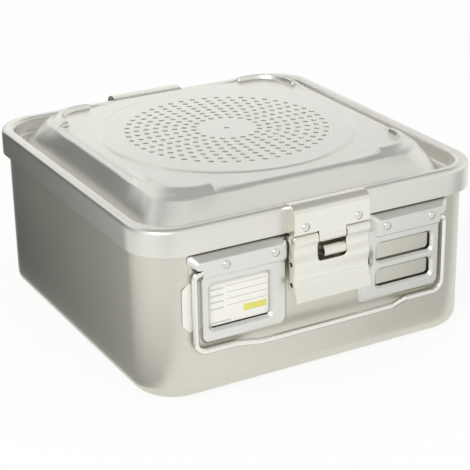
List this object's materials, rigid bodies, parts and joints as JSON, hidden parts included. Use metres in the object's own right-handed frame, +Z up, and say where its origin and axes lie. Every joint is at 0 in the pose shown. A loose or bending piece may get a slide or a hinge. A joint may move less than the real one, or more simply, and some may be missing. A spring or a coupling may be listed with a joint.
{
  "type": "sterilization container",
  "caption": "Square metal container for sterilizing instruments, with a lift-off domed and perforated lid, spring latches, wire bail handles and a card holder.",
  "frame": {"origin": "centre of the footprint at the level of the underside of the tub", "axes": "+Z up, front with the label card towards -Y, +X towards the slotted bracket beside the front latch"},
  "size_m": [0.285, 0.3158, 0.1473],
  "materials": {
    "tub_metal": "satin anodised",
    "lid_metal": "satin anodised",
    "bracket_metal": "bead blasted",
    "latch_metal": "anodised, soft sheen",
    "rivet_metal": "plain",
    "pin_steel": "plain",
    "wire_chrome": "polished",
    "card_plastic": "matte",
    "gasket_rubber": "matte",
    "filter_paper": "matte",
    "retainer_metal": "satin",
    "knob_plastic": "matte"
  },
  "bodies": {
    "tub": {"tub": "tub_metal", "front_catch": "bracket_metal", "rear_catch": "bracket_metal", "catch_rivets": "rivet_metal", "label_bracket": "bracket_metal", "slotted_bracket": "bracket_metal", "rear_left_bracket": "bracket_metal", "rear_right_bracket": "bracket_metal", "front_bracket_rivets": "rivet_metal", "rear_bracket_rivets": "rivet_metal"},
    "card": {"label_card": "card_plastic"},
    "lid": {"lid_shell": "lid_metal", "lid_gasket": "gasket_rubber", "front_clip": "latch_metal", "rear_clip": "latch_metal", "clip_rivets": "rivet_metal", "front_hinge_pin": "pin_steel", "rear_hinge_pin": "pin_steel", "retainer_stud": "pin_steel"},
    "filter_holder": {"filter_disc": "filter_paper", "filter_retainer": "retainer_metal", "retainer_knob": "knob_plastic"},
    "front_latch": {"front_lever": "latch_metal"},
    "rear_latch": {"rear_lever": "latch_metal"},
    "front_bail": {"front_handle": "wire_chrome"},
    "rear_bail": {"rear_handle": "wire_chrome"}
  },
  "joints": [
    {"name": "lid_lift", "type": "slide", "parent": "tub", "child": "lid", "axis": [0, 0, 1], "range_m": [0, 0.024]},
    {"name": "filter_drop", "type": "slide", "parent": "lid", "child": "filter_holder", "axis": [0, 0, -1], "range_m": [0, 0.03]},
    {"name": "front_latch_swing", "type": "hinge", "parent": "lid", "child": "front_latch", "pos_m": [0, -0.1504, 0.1089], "axis": [-1, 0, 0], "range_deg": [0, 100]},
    {"name": "rear_latch_swing", "type": "hinge", "parent": "lid", "child": "rear_latch", "pos_m": [0, 0.1504, 0.1089], "axis": [1, 0, 0], "range_deg": [0, 100]},
    {"name": "front_bail_swing", "type": "hinge", "parent": "tub", "child": "front_bail", "pos_m": [0, -0.1436, 0.0976], "axis": [-1, 0, 0], "range_deg": [0, 95]},
    {"name": "rear_bail_swing", "type": "hinge", "parent": "tub", "child": "rear_bail", "pos_m": [0, 0.1436, 0.0976], "axis": [1, 0, 0], "range_deg": [0, 95]},
    {"name": "card_slide", "type": "slide", "parent": "tub", "child": "card", "axis": [-1, 0, 0], "range_m": [0, 0.07]}
  ],
  "couplings": [
    {"joint": "front_latch_swing", "follows": "lid_lift", "rad_per_m": 72.7},
    {"joint": "rear_latch_swing", "follows": "lid_lift", "rad_per_m": 72.7}
  ]
}
